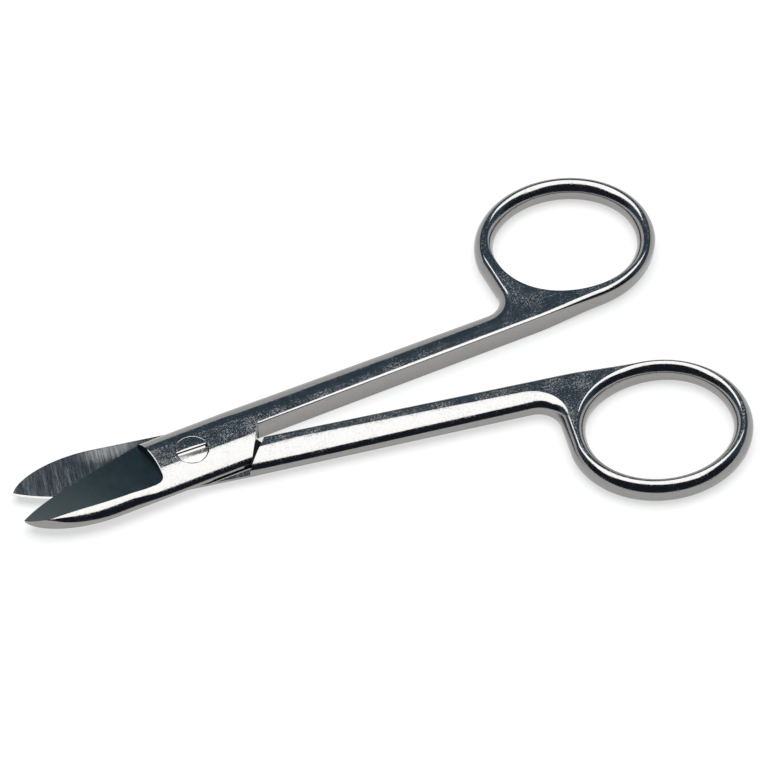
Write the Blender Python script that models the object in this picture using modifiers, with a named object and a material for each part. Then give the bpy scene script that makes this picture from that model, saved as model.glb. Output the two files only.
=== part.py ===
"""Small forged scissors for snipping thread, drawn slightly open and lying flat.

Three pieces: an upper half, a lower half turned over against it, and the slotted screw they pivot on.
Each half is one forging: a short blade, a half-thickness joint, a D-shaped shank and a finger ring.
The origin is on the pivot axis at the height of the table. +X runs from the pivot to the finger rings
and +Z points up, out of the screw head. All named sizes are in millimetres unless the name says degrees.
"""

import math

import bmesh
import bpy
import numpy as np
from mathutils import Matrix, Vector
from mathutils.geometry import delaunay_2d_cdt

MM = 0.001

# Whole forging
THICKNESS = 4.0
OPEN_DEG = 11.3
FACE_GAP = 0.2
WALL_BAND = 0.5

# Blade
BLADE_LENGTH = 28.8
TOE_LENGTH = 14.0
TOE_FULLNESS = 1.6
EDGE_SLOPE = 0.2
EDGE_BELLY = 1.4
EDGE_BELLY_LENGTH = 3.9
EDGE_LAND = 0.15
BLADE_ROOT = 6.0
SPINE_ROUNDING_SHARE = 0.58
EDGE_ROUNDING_SHARE = 0.38
BEVEL_DEG = 9.3
POINT_BEVEL_DEG = 26.0
BEVEL_TWIST_LENGTH = 9.0
BEVEL_STOP_RADIUS = 17.0
BEVEL_STOP_CORNER = 1.3
BEVEL_STOP_LOW = 3.6

# Joint
JOINT_HALF_WIDTH = 5.65
JOINT_END = 9.5
JOINT_END_DEG = 34.0
JOINT_ROUNDING = 3.1
SHOULDER_GAP = 0.3
END_EDGE = 0.15

# Shank
INNER_WALL = 0.25
INNER_EDGE = 1.0
SHANK_WIDTH_AT_RING = 4.65
SHANK_ROUNDING = 3.5
SHANK_ROUNDING_START = 14.0
SHANK_ROUNDING_AT_RING = 2.6
CROTCH_RADIUS = 3.5

# Finger ring
RING_X = 72.7
RING_LONG = 23.7
RING_SHORT = 20.4
RING_TILT_DEG = -5.0
RIM = 3.1
RIM_FLAT = 0.24
RING_BLEND = 12.0
RING_SAG = 0.15

# Pivot screw
HEAD_DIAMETER = 5.1
HEAD_RIM = 0.25
SHANK_DIAMETER = 3.0
COUNTERSINK_DEG = 90.0
HEAD_GAP = 0.06
BORE_GAP = 0.1
THREAD_GAP = 0.05
SLOT_WIDTH = 0.85
SLOT_DEPTH = 0.7
SLOT_DEG = 3.0

# Fineness of the curves
TOE_STEPS = 12
EDGE_STEPS = 14
SHANK_STEPS = 10
WALL_STEPS = 12
RING_STEPS = 52
CROTCH_STEPS = 7
QUARTER_STEPS = 5
BEVEL_STATIONS = 24
BEVEL_COLUMNS = 8
STOP_STEPS = 14
STOP_CORNER_STEPS = 5
TURN_STEPS = 48
TOE_CROWDING = 1.6
EDGE_CROWDING = 1.5
WALL_CROWDING = 0.7
TANGENT_TRIES = 2001
SHARP_CORNER = 0.35

# Settings of Blender's plane fill
FILL_INSIDE = 1
FILL_TOLERANCE = 1e-6

ROUND_HEIGHT = (THICKNESS - WALL_BAND) / 2
RING_ROUNDING = (RIM - RIM_FLAT) / 2
RING_Y = INNER_WALL + RING_SHORT / 2 + RIM - RING_SAG
SLIVER = 0.05
SPARE = 1.0


def clear_scene():
    for thing in list(bpy.data.objects):
        bpy.data.objects.remove(thing, do_unlink=True)


def new_collection(name):
    collection = bpy.data.collections.new(name)
    bpy.context.scene.collection.children.link(collection)
    return collection


def steel(name, colour, roughness):
    material = bpy.data.materials.new(name)
    material.use_nodes = True
    shader = material.node_tree.nodes["Principled BSDF"]
    shader.inputs["Base Color"].default_value = (*colour, 1.0)
    shader.inputs["Metallic"].default_value = 1.0
    shader.inputs["Roughness"].default_value = roughness
    return material


# ---- the plan outline of a half: ring on the +Y side, blade towards -X ----


def spine_y(x):
    """The back of the blade, which curves in to the point over the toe."""
    along = np.clip((x + BLADE_LENGTH) / TOE_LENGTH, 0.0, 1.0)
    return -JOINT_HALF_WIDTH * (1.0 - (1.0 - along) ** 2) ** (1.0 / TOE_FULLNESS)


def edge_line(x):
    """The cutting edge, nearly straight with a little belly behind the point."""
    along = np.maximum(x + BLADE_LENGTH, 0.0)
    return EDGE_SLOPE * along + EDGE_BELLY * (1.0 - np.exp(-along / EDGE_BELLY_LENGTH))


def edge_y(x):
    """The same line up to the full width of the joint."""
    return np.minimum(edge_line(x), JOINT_HALF_WIDTH)


def edge_root():
    """Where the cutting edge reaches the full width of the joint."""
    return -BLADE_LENGTH + (JOINT_HALF_WIDTH - EDGE_BELLY) / EDGE_SLOPE


def on_end_line(y, distance, side):
    """X of the slanting end line of a joint (side -1) or of the shoulder beyond it (side 1)."""
    slant = math.radians(JOINT_END_DEG)
    return (distance - side * y * math.sin(slant)) / math.cos(slant)


def ring_curve(angle, offset):
    """Points of the finger hole's ellipse, moved outwards square to it by the offset."""
    tilt = math.radians(RING_TILT_DEG)
    half_long, half_short = RING_LONG / 2, RING_SHORT / 2
    x, y = half_long * np.cos(angle), half_short * np.sin(angle)
    normal_x, normal_y = half_short * np.cos(angle), half_long * np.sin(angle)
    length = np.hypot(normal_x, normal_y)
    x, y = x + offset * normal_x / length, y + offset * normal_y / length
    return np.stack(
        [RING_X + x * math.cos(tilt) - y * math.sin(tilt),
         RING_Y + x * math.sin(tilt) + y * math.cos(tilt)], axis=-1)


def tangent_angle(start):
    """The ring angle where a line from the start just touches the ring's outer side from below."""
    angles = np.linspace(-math.pi, 0.0, TANGENT_TRIES)
    slopes = ring_curve(angles, RIM) - start
    return angles[np.argmin(np.arctan2(slopes[:, 1], slopes[:, 0]))]


def shank_rounding(x):
    return float(np.interp(
        x, [0.0, SHANK_ROUNDING_START, RING_X - RING_LONG / 2 - RIM],
        [JOINT_ROUNDING, SHANK_ROUNDING, SHANK_ROUNDING_AT_RING]))


def blade_rounding(x, share):
    """A side's rounding: the joint's own, or a share of the blade's width where the blade is narrower."""
    return float(min(JOINT_ROUNDING, share * (edge_y(x) - spine_y(x)) + SLIVER))


def blade_side(forward):
    """Points of one side of the blade: the spine from the point to the joint, or the edge back to it."""
    if forward:
        toe = -BLADE_LENGTH + TOE_LENGTH * np.linspace(0.0, 1.0, TOE_STEPS + 1)[1:] ** TOE_CROWDING
        points, narrowing = [(x, float(spine_y(x))) for x in toe], SPINE_ROUNDING_SHARE
    else:
        share = np.linspace(0.0, 1.0, EDGE_STEPS + 1)[1:] ** EDGE_CROWDING
        stations = -BLADE_LENGTH + (edge_root() + BLADE_LENGTH) * share[::-1]
        points, narrowing = [(x, float(edge_y(x))) for x in stations], EDGE_ROUNDING_SHARE
    return [(point, (blade_rounding(point[0], narrowing), ROUND_HEIGHT)) for point in points]


def inner_side():
    """The flat inner wall, from the joint's end to where it touches the ring."""
    start = np.array([on_end_line(INNER_WALL, JOINT_END, -1), INNER_WALL])
    touch = ring_curve(tangent_angle(start), RIM)
    found = []
    for share in np.linspace(0.0, 1.0, WALL_STEPS + 1)[:-1] ** WALL_CROWDING:
        point = start + share * (touch - start)
        blend = np.clip((point[0] - touch[0] + RING_BLEND) / RING_BLEND, 0.0, 1.0)
        width = INNER_EDGE + blend * (RING_ROUNDING - INNER_EDGE)
        height = INNER_EDGE + blend * (ROUND_HEIGHT - INNER_EDGE)
        found.append((tuple(point), (width, height)))
    return found


def ring_side():
    """The ring's outer side, anticlockwise from the inner wall to its leftmost point."""
    start = np.array([on_end_line(INNER_WALL, JOINT_END, -1), INNER_WALL])
    first = tangent_angle(start)
    angles = np.linspace(first, math.pi, RING_STEPS + 1)
    return [(tuple(point), (RING_ROUNDING, ROUND_HEIGHT)) for point in ring_curve(angles, RIM)]


def crotch():
    """The hollow fillet between the ring and the outer side of the shank."""
    left = float(ring_curve(np.array([math.pi]), RIM)[0, 0])
    centre = (left - CROTCH_RADIUS, INNER_WALL + SHANK_WIDTH_AT_RING + CROTCH_RADIUS)
    found = []
    for share in np.linspace(0.0, 1.0, CROTCH_STEPS + 1):
        angle = -share * math.pi / 2
        point = (centre[0] + CROTCH_RADIUS * math.cos(angle), centre[1] + CROTCH_RADIUS * math.sin(angle))
        width = RING_ROUNDING + share * (SHANK_ROUNDING_AT_RING - RING_ROUNDING)
        found.append((point, (width, ROUND_HEIGHT)))
    return found


def outer_side():
    """The outer side of the shank, which widens evenly from the ring to the joint."""
    end = crotch()[-1][0]
    start_x = JOINT_END
    found = []
    for share in np.linspace(0.0, 1.0, SHANK_STEPS + 1)[1:]:
        x = end[0] + share * (start_x - end[0])
        y = end[1] + share * (JOINT_HALF_WIDTH - end[1])
        found.append(((x, y), (shank_rounding(x), ROUND_HEIGHT)))
    return found


def half_outline():
    """The whole outline anticlockwise, as points and the rounding of the edge that starts at each."""
    corner = (on_end_line(-JOINT_HALF_WIDTH, JOINT_END, -1), -JOINT_HALF_WIDTH)
    found = [((-BLADE_LENGTH, 0.0), (blade_rounding(-BLADE_LENGTH, SPINE_ROUNDING_SHARE), ROUND_HEIGHT))]
    found += blade_side(True)
    found.append((corner, (END_EDGE, END_EDGE)))
    found += inner_side() + ring_side() + crotch() + outer_side()
    found += blade_side(False)
    points = np.array([point for point, _ in found])
    return points, np.array([rounding for _, rounding in found])


def hole_outline():
    """The finger hole clockwise, so that the metal lies to the left of it as it does of the outline."""
    angles = np.linspace(0.0, -2 * math.pi, RING_STEPS, endpoint=False)
    points = ring_curve(angles, 0.0)
    return points, np.full((RING_STEPS, 2), (RING_ROUNDING, ROUND_HEIGHT))


# ---- from an outline to a rounded plate ----


def inset_at(width, height, z):
    """How far a rounded side lies inside its outline at height z."""
    reach = np.maximum(np.maximum(height - z, z - (THICKNESS - height)), 0.0)
    share = np.minimum(reach / height, 1.0)
    return width * (1.0 - np.sqrt(1.0 - share ** 2))


def rounded_loops(points, rounding):
    """The outline at each level from bottom to top, drawn in by each edge's own rounding.

    A sharp corner moves to where its two drawn-in edges cross, so a wide rounding runs up to an end face.
    """
    ahead = np.roll(points, -1, axis=0) - points
    ahead /= np.linalg.norm(ahead, axis=1)[:, None]
    behind = np.roll(ahead, 1, axis=0)
    inward = np.stack([-ahead[:, 1], ahead[:, 0]], axis=1)
    inward_behind = np.roll(inward, 1, axis=0)
    before = np.roll(rounding, 1, axis=0)
    height = np.maximum(rounding[:, 1], before[:, 1])
    turn = ahead[:, 0] * behind[:, 1] - ahead[:, 1] * behind[:, 0]
    quarter = np.linspace(0.0, math.pi / 2, QUARTER_STEPS + 1)
    low = 1.0 - np.cos(quarter)
    levels = []
    for share, top in [(s, False) for s in low] + [(s, True) for s in low[::-1]]:
        z = THICKNESS - height * share if top else height * share
        inset = inset_at(rounding[:, 0], rounding[:, 1], z)
        inset_before = inset_at(before[:, 0], before[:, 1], z)
        middle = inward + inward_behind
        middle /= np.linalg.norm(middle, axis=1)[:, None]
        moved = points + middle * ((inset + inset_before) / 2)[:, None]
        sharp = np.abs(turn) > SHARP_CORNER
        across = (inward_behind * inset[:, None] - inward * inset_before[:, None])
        crossing = points + np.stack([across[:, 1], -across[:, 0]], axis=1) / np.where(
            sharp, turn, 1.0)[:, None]
        plan = np.where(sharp[:, None], crossing, moved)
        levels.append(np.column_stack([plan, z]))
    return np.array(levels)


def flat_between(rims):
    """Triangles that fill the outer rim and leave the inner one open, as numbers into the rims' points.

    The hole is convex, so a triangle with all its corners on the inner rim lies in the hole.
    """
    points = [Vector((x, y)) for rim in rims for x, y, _ in rim]
    edges, first = [], 0
    for rim in rims:
        edges += [(first + i, first + (i + 1) % len(rim)) for i in range(len(rim))]
        first += len(rim)
    filled = delaunay_2d_cdt(points, edges, [], FILL_INSIDE, FILL_TOLERANCE)
    triangles = [tuple(filled[3][corner][0] for corner in face) for face in filled[2]]
    return [triangle for triangle in triangles if min(triangle) < len(rims[0])]


def rounded_plate(name, collection, material):
    """The forging before it is ground: flat faces above and below, joined by rounded sides."""
    loops = [rounded_loops(*half_outline()), rounded_loops(*hole_outline())]
    vertices, faces, starts = [], [], []
    for levels in loops:
        first, count = len(vertices), levels.shape[1]
        starts.append(first)
        vertices += [tuple(point) for level in levels for point in level]
        for level in range(levels.shape[0] - 1):
            for i in range(count):
                j = (i + 1) % count
                low, high = first + level * count, first + (level + 1) * count
                faces.append((low + i, low + j, high + j, high + i))
    for level in (0, -1):
        rims = [levels[level] for levels in loops]
        index = []
        for start, levels in zip(starts, loops):
            base = start + (level % levels.shape[0]) * levels.shape[1]
            index += list(range(base, base + levels.shape[1]))
        faces += [tuple(index[corner] for corner in triangle) for triangle in flat_between(rims)]
    mesh = bpy.data.meshes.new(name)
    mesh.from_pydata((np.array(vertices) * MM).tolist(), [], faces)
    shape = bmesh.new()
    shape.from_mesh(mesh)
    bmesh.ops.recalc_face_normals(shape, faces=shape.faces)
    shape.to_mesh(mesh)
    shape.free()
    mesh.materials.append(material)
    plate = bpy.data.objects.new(name, mesh)
    collection.objects.link(plate)
    return plate


# ---- cutters ----


def as_cutter(cutter, collection):
    collection.objects.link(cutter)
    cutter.hide_render = True
    cutter.display_type = "WIRE"
    return cutter


def prism(name, outline, low, high, collection):
    """A closed plan outline extruded from one height to another."""
    curve = bpy.data.curves.new(name, "CURVE")
    curve.dimensions = "2D"
    curve.fill_mode = "BOTH"
    curve.extrude = (high - low) / 2 * MM
    spline = curve.splines.new("POLY")
    spline.points.add(len(outline) - 1)
    spline.points.foreach_set("co", [value for x, y in outline for value in (x * MM, y * MM, 0.0, 1.0)])
    spline.use_cyclic_u = True
    drawn = bpy.data.objects.new(name, curve)
    mesh = bpy.data.meshes.new_from_object(drawn)
    bpy.data.objects.remove(drawn)
    bpy.data.curves.remove(curve)
    shape = bmesh.new()
    shape.from_mesh(mesh)
    bmesh.ops.remove_doubles(shape, verts=shape.verts, dist=1e-6)
    bmesh.ops.translate(shape, verts=shape.verts, vec=(0.0, 0.0, (high + low) / 2 * MM))
    bmesh.ops.recalc_face_normals(shape, faces=shape.faces)
    shape.to_mesh(mesh)
    shape.free()
    return as_cutter(bpy.data.objects.new(name, mesh), collection)


def turned(name, profile):
    """A profile of (radius, height) points, from the top of its outer side down, turned about Z."""
    mesh = bpy.data.meshes.new(name)
    edges = [(i, i + 1) for i in range(len(profile) - 1)]
    mesh.from_pydata([(radius * MM, 0.0, z * MM) for radius, z in profile], edges, [])
    thing = bpy.data.objects.new(name, mesh)
    screw = thing.modifiers.new("turn", "SCREW")
    screw.steps = screw.render_steps = TURN_STEPS
    screw.use_merge_vertices = True
    screw.merge_threshold = 1e-6
    return thing


def cut(body, cutter, operation="DIFFERENCE"):
    boolean = body.modifiers.new(cutter.name, "BOOLEAN")
    boolean.operation = operation
    boolean.solver = "EXACT"
    boolean.object = cutter


def lap_relief(name, collection):
    """Everything below the joint's inner face, from past the point up to the slanting shoulder."""
    reach = 2 * JOINT_HALF_WIDTH
    shoulder = JOINT_END + SHOULDER_GAP
    outline = [
        (-BLADE_LENGTH - reach, -reach),
        (on_end_line(-reach, shoulder, 1), -reach),
        (on_end_line(reach, shoulder, 1), reach),
        (-BLADE_LENGTH - reach, reach),
    ]
    return prism(name, outline, -THICKNESS, (THICKNESS + FACE_GAP) / 2, collection)


def bevel_stop_outline():
    """Plan of the ground area: open past the point, and ending in a bulging curve with a round corner.

    The curve falls back from the blade root by y squared over twice its radius.
    """
    reach = 2 * JOINT_HALF_WIDTH
    low = BEVEL_STOP_CORNER - BEVEL_STOP_LOW
    corner_x = -BLADE_ROOT - low ** 2 / (2 * BEVEL_STOP_RADIUS) - BEVEL_STOP_CORNER
    points = [(-BLADE_LENGTH - reach, -reach), (corner_x - BEVEL_STOP_CORNER, -reach)]
    for angle in np.linspace(-math.pi / 2, 0.0, STOP_CORNER_STEPS + 1):
        points.append((corner_x + BEVEL_STOP_CORNER * math.cos(angle),
                       low + BEVEL_STOP_CORNER * math.sin(angle)))
    for y in np.linspace(low, reach, STOP_STEPS)[1:]:
        points.append((-BLADE_ROOT - y ** 2 / (2 * BEVEL_STOP_RADIUS), float(y)))
    points.append((-BLADE_LENGTH - reach, reach))
    return points


def bevel_z(x, y):
    """Height of the ground face: it rises from the cutting edge, and more steeply towards the point."""
    along = np.maximum(x + BLADE_LENGTH, 0.0)
    extra = (POINT_BEVEL_DEG - BEVEL_DEG) * np.exp(-along / BEVEL_TWIST_LENGTH)
    edge_z = (THICKNESS + FACE_GAP) / 2 + EDGE_LAND
    return edge_z + np.tan(np.radians(BEVEL_DEG + extra)) * (edge_line(x) - y)


def bevel_grind(name, collection):
    """What the grinding of the outer face takes off: a block whose underside is that face."""
    shape = bmesh.new()
    bmesh.ops.create_grid(shape, x_segments=BEVEL_STATIONS, y_segments=BEVEL_COLUMNS, size=0.5)
    reach = JOINT_HALF_WIDTH + SPARE
    for vertex in shape.verts:
        x = -BLADE_LENGTH - SPARE + (vertex.co.x + 0.5) * (BLADE_LENGTH + 2 * SPARE)
        y = 2 * reach * vertex.co.y
        vertex.co = Vector((x, y, float(bevel_z(x, y)))) * MM
    raised = bmesh.ops.extrude_face_region(shape, geom=shape.faces[:])
    for vertex in raised["geom"]:
        if isinstance(vertex, bmesh.types.BMVert):
            vertex.co.z = 3 * THICKNESS * MM
    bmesh.ops.recalc_face_normals(shape, faces=shape.faces)
    mesh = bpy.data.meshes.new(name)
    shape.to_mesh(mesh)
    shape.free()
    return as_cutter(bpy.data.objects.new(name, mesh), collection)


def screw_bore(name, collection):
    """The countersunk clearance hole through the upper half."""
    cone = HEAD_DIAMETER / 2 + HEAD_GAP
    bore = SHANK_DIAMETER / 2 + BORE_GAP
    depth = (cone - bore) / math.tan(math.radians(COUNTERSINK_DEG / 2))
    rim = THICKNESS - HEAD_RIM
    above, below = THICKNESS + SPARE, -SPARE
    return as_cutter(turned(name, [(0.0, above), (cone, above), (cone, rim), (bore, rim - depth),
                                   (bore, below), (0.0, below)]), collection)


def threaded_bore(name, collection):
    """The plain core of the threaded hole through the lower half."""
    bore = SHANK_DIAMETER / 2 + THREAD_GAP
    above, below = THICKNESS + SPARE, -SPARE
    return as_cutter(turned(name, [(0.0, above), (bore, above), (bore, below), (0.0, below)]), collection)


# ---- the three pieces ----


def half(name, placement, bore, material, pieces, cutters):
    """One half in its own frame, ground and bored, then put where it belongs."""
    body = rounded_plate(name, pieces, material)
    body.matrix_world = placement
    relief = lap_relief(name + "_relief", cutters)
    bevel = bevel_grind(name + "_bevel", cutters)
    stop = prism(name + "_bevel_stop", bevel_stop_outline(), 0.0, 2 * THICKNESS, cutters)
    for cutter in (relief, bevel, stop):
        cutter.matrix_world = placement
    cut(bevel, stop, "INTERSECT")
    cut(body, relief)
    cut(body, bevel)
    cut(body, bore)
    return body


def pivot_screw(material, pieces, cutters):
    """Countersunk screw: flush slotted head, plain shank and an end level with the underside."""
    head, shank = HEAD_DIAMETER / 2, SHANK_DIAMETER / 2
    rim = THICKNESS - HEAD_RIM
    depth = (head - shank) / math.tan(math.radians(COUNTERSINK_DEG / 2))
    chamfer = 2 * END_EDGE
    profile = [(0.0, THICKNESS), (head, THICKNESS), (head, rim), (shank, rim - depth),
               (shank, chamfer), (shank - chamfer, 0.0), (0.0, 0.0)]
    screw = turned("pivot_screw", profile)
    pieces.objects.link(screw)
    screw.data.materials.append(material)
    outline = [(-HEAD_DIAMETER, -SLOT_WIDTH / 2), (HEAD_DIAMETER, -SLOT_WIDTH / 2),
               (HEAD_DIAMETER, SLOT_WIDTH / 2), (-HEAD_DIAMETER, SLOT_WIDTH / 2)]
    slot = prism("screw_slot", outline, THICKNESS - SLOT_DEPTH, THICKNESS + SPARE, cutters)
    slot.rotation_euler.z = math.radians(SLOT_DEG)
    cut(screw, slot)
    return screw


def main():
    clear_scene()
    pieces = new_collection("thread_snips")
    cutters = new_collection("cutters")
    cutters.hide_render = True
    forged = steel("forged_steel", (0.62, 0.63, 0.64), 0.12)
    turned_steel = steel("screw_steel", (0.60, 0.61, 0.63), 0.16)
    swing = Matrix.Rotation(math.radians(OPEN_DEG / 2), 4, "Z")
    turned_over = Matrix.Translation((0.0, 0.0, THICKNESS * MM)) @ Matrix.Rotation(math.pi, 4, "X")
    half("upper_half", swing, screw_bore("upper_bore", cutters), forged, pieces, cutters)
    half("lower_half", swing.inverted() @ turned_over, threaded_bore("lower_bore", cutters), forged,
         pieces, cutters)
    pivot_screw(turned_steel, pieces, cutters)


main()
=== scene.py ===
# %% [markdown]
# # Thread snips in a studio
# The measured model of the snips is already there: two forged halves and a screw, each with few faces.
# This lesson dresses it. The halves and the screw are drawn again from the same sizes with far more
# faces, because polished steel is a mirror and a mirror shows every flat spot. Then come the finishes,
# the studio that the steel reflects, and the camera.

# %% Load the measured model
import math

import bmesh
import bpy
import numpy as np
from mathutils import Matrix, Vector
from mathutils.geometry import delaunay_2d_cdt


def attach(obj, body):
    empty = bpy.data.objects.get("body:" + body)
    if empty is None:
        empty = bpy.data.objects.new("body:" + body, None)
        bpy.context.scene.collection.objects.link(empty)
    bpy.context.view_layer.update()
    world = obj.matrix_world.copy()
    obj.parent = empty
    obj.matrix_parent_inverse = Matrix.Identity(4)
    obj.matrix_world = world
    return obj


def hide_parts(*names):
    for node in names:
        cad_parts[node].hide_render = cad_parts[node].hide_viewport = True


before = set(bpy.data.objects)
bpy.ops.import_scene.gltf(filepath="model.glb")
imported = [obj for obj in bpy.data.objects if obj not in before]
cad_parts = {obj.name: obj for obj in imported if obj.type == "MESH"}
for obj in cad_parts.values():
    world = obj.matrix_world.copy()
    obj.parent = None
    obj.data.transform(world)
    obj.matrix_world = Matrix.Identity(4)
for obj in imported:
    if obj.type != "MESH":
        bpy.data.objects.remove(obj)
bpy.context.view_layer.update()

MM = 0.001
print("nodes:", sorted(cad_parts))

# %% [markdown]
# ## The sizes of one half
# Both halves are the same forging, one of them turned over. It could be pulled into shape by hand, but
# named sizes can be measured and changed, and they let the dressed half fill the space of the plain
# one. It is drawn in its own frame: the pivot is the origin, the blade points to -X and the finger ring
# lies on the +Y side. Lengths are in millimetres. A fullness is the power in a rounding's formula.

# %% Sizes of the forging
THICKNESS, OPEN_DEG, FACE_GAP, WALL_BAND = 4.0, 11.3, 0.2, 0.5
BLADE_LENGTH, TOE_LENGTH, TOE_FULLNESS = 28.8, 14.0, 1.6
EDGE_SLOPE, EDGE_BELLY, EDGE_BELLY_LENGTH, EDGE_LAND = 0.2, 1.4, 3.9, 0.15
BLADE_ROOT, SPINE_ROUNDING_SHARE, EDGE_ROUNDING_SHARE = 6.0, 0.1, 0.38
BEVEL_DEG, POINT_BEVEL_DEG, BEVEL_TWIST_LENGTH = 9.3, 29.0, 8.0
BEVEL_STOP_RADIUS, BEVEL_STOP_CORNER, BEVEL_STOP_LOW, BEVEL_STOP_FALL_DEG = 17.0, 1.3, 3.6, 12.0
BACK_WIDENS_FROM, BACK_WIDENS_TO = 12.5, 6.3
BACK_FULLNESS, ELLIPSE, FLATTER_FROM, FLATTER_TO = 1.6, 2.0, 4.0, 14.0
STOP_BREAK, STOP_BREAK_DEPTH = 0.12, 0.035
HONE_WIDTH, HONE_RISE, HONE_END, HONE_FADE = 0.34, 0.10, -8.0, 4.0
JOINT_HALF_WIDTH, JOINT_END, JOINT_END_DEG = 5.65, 9.5, 34.0
JOINT_ROUNDING, BACK_ROUNDING, SHOULDER_GAP, END_EDGE = 3.1, 4.5, 0.3, 0.15
INNER_WALL, INNER_EDGE, INNER_EDGE_WIDER, INNER_EDGE_HEIGHT = 0.25, 0.3, 0.55, 0.2
SHANK_ROUNDING, SHANK_ROUNDING_START, SHANK_ROUNDING_AT_RING = 3.9, 17.0, 2.8
SHANK_WIDTH_AT_RING, CROTCH_RADIUS = 4.65, 3.5
RING_X, RING_LONG, RING_SHORT, RING_TILT_DEG = 72.7, 23.7, 20.4, -5.0
RIM, RING_BLEND, RING_SAG = 3.1, 12.0, 0.15
RING_OUTSIDE, RING_INSIDE, RING_INSIDE_AT_WEB = 1.2, 1.4, 0.5
RING_LESS_BY_SHANK, RING_WIDER_BELOW, RING_LEAN_BELOW = 0.3, 0.1, 0.4
HOLE_WIDER_ABOVE, HOLE_LEAN_ABOVE, HOLE_LEAN_BELOW = 0.15, 0.1, 0.15
WEB_DEG, WEB_SPREAD, WEB_START = -135.0, 0.9, 0.1
RING_FULLNESS, RING_EDGE_HEIGHT, HOLE_WIDER, DRAWN_IN = 1.65, 0.7, 0.5, 0.02
ROUND_HEIGHT = (THICKNESS - WALL_BAND) / 2
BACK_HEIGHT, JOINT_BACK_HEIGHT = 1.7, 1.95
EDGE_Z = (THICKNESS + FACE_GAP) / 2 + EDGE_LAND
RING_REACH = RIM - DRAWN_IN
RING_Y = INNER_WALL + RING_SHORT / 2 + RIM - RING_SAG
SPARE = 1.0                                   # how far a cutter stands out of what it cuts
print("one half is", BLADE_LENGTH + RING_X + RING_LONG / 2 + RIM, "mm long")

# %% [markdown]
# ## The outline of a half
# Seen from above, a half is one closed line: the back of the blade, the slanting end of the joint, the
# straight inner side of the shank, the ring, the hollow beside it, the outer side of the shank and the
# cutting edge. A drawn curve would give the line, but not its roundings: a shank is rounded far more
# than the end of a joint. So each part is a formula over a whole array of positions, and a row holds
# x, y, how wide and how high the edge is rounded there, above and below, and how full the rounding is.

# %% Blade lines
def spine_y(x):
    """Back of the blade: a superellipse quarter over the toe, then straight."""
    along = np.clip((x + BLADE_LENGTH) / TOE_LENGTH, 0.0, 1.0)
    return -JOINT_HALF_WIDTH * (1.0 - (1.0 - along) ** 2) ** (1.0 / TOE_FULLNESS)


def edge_line(x):
    """Cutting edge: a straight slope plus a belly that fades in exponentially from the point."""
    along = np.maximum(x + BLADE_LENGTH, 0.0)
    return EDGE_SLOPE * along + EDGE_BELLY * (1.0 - np.exp(-along / EDGE_BELLY_LENGTH))


def smooth_step(share):
    """Three times the square less twice the cube, level at 0 and at 1."""
    share = np.clip(share, 0.0, 1.0)
    return share * share * (3.0 - 2.0 * share)


def blade_width(x):
    return np.minimum(edge_line(x), JOINT_HALF_WIDTH) - spine_y(x)


def bevel_slope(x):
    """Tangent of the ground face's angle, which fades exponentially from the point to the root."""
    along = np.maximum(x + BLADE_LENGTH, 0.0)
    twist = (POINT_BEVEL_DEG - BEVEL_DEG) * np.exp(-along / BEVEL_TWIST_LENGTH)
    return np.tan(np.radians(BEVEL_DEG + twist))


def widening(x):
    """0 on the blade and 1 on the joint, with a smooth step between them."""
    return smooth_step((x + BACK_WIDENS_FROM) / (BACK_WIDENS_FROM - BACK_WIDENS_TO))


def edge_rounding(x):
    """Rounding under the cutting edge: the joint's, or a share of the blade's width if that is less."""
    return np.minimum(JOINT_ROUNDING, EDGE_ROUNDING_SHARE * blade_width(x))


def run_out(x):
    """Where the ground face runs out, measured from the back: the width less the height over the
    slope, and at least a small share of the width."""
    return np.maximum(blade_width(x) - (THICKNESS - EDGE_Z) / bevel_slope(x),
                      SPINE_ROUNDING_SHARE * blade_width(x))


def back_rounding(x):
    """Width of the back's rounding, which begins where the ground face runs out and widens by a smooth
    step to the joint's."""
    return run_out(x) + (BACK_ROUNDING - run_out(x)) * widening(x)


def back_height(x):
    """Height of the back's rounding, from the blade's to the joint's by the same step."""
    return BACK_HEIGHT + (JOINT_BACK_HEIGHT - BACK_HEIGHT) * widening(x)


def back_fullness(x):
    """Power of the rounding's curve: 2 is an ellipse, and less is nearer to a chamfer. It is less than
    2 between the point and the joint, with a smooth step on either side."""
    behind_point = smooth_step((x + BLADE_LENGTH - FLATTER_FROM) / (FLATTER_TO - FLATTER_FROM))
    return ELLIPSE + (BACK_FULLNESS - ELLIPSE) * behind_point * (1.0 - widening(x))


def end_line(y, distance, side):
    """X of the slanting line across the joint at a distance from the pivot, for a side of -1 or 1."""
    slant = math.radians(JOINT_END_DEG)
    return (distance - side * y * math.sin(slant)) / math.cos(slant)


edge_root = -BLADE_LENGTH + (JOINT_HALF_WIDTH - EDGE_BELLY) / EDGE_SLOPE
print("blade width 10 mm behind the point:", round(float(blade_width(10.0 - BLADE_LENGTH)), 2), "mm")

# %% Ring and shank lines
def ring_curve(angle, offset):
    """The finger hole's ellipse moved outwards by the offset, square to itself, then tilted."""
    tilt = math.radians(RING_TILT_DEG)
    half_long, half_short = RING_LONG / 2, RING_SHORT / 2
    across, up = half_short * np.cos(angle), half_long * np.sin(angle)
    length = np.hypot(across, up)
    x = half_long * np.cos(angle) + offset * across / length
    y = half_short * np.sin(angle) + offset * up / length
    return (RING_X + x * math.cos(tilt) - y * math.sin(tilt),
            RING_Y + x * math.sin(tilt) + y * math.cos(tilt))


def rows(x, y, above, below=None, fullness=ELLIPSE):
    """Columns x and y, the rounding's width and height above and below, and its fullness."""
    return np.column_stack(np.broadcast_arrays(x, y, *above, *(below or above), fullness)).astype(float)


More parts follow.
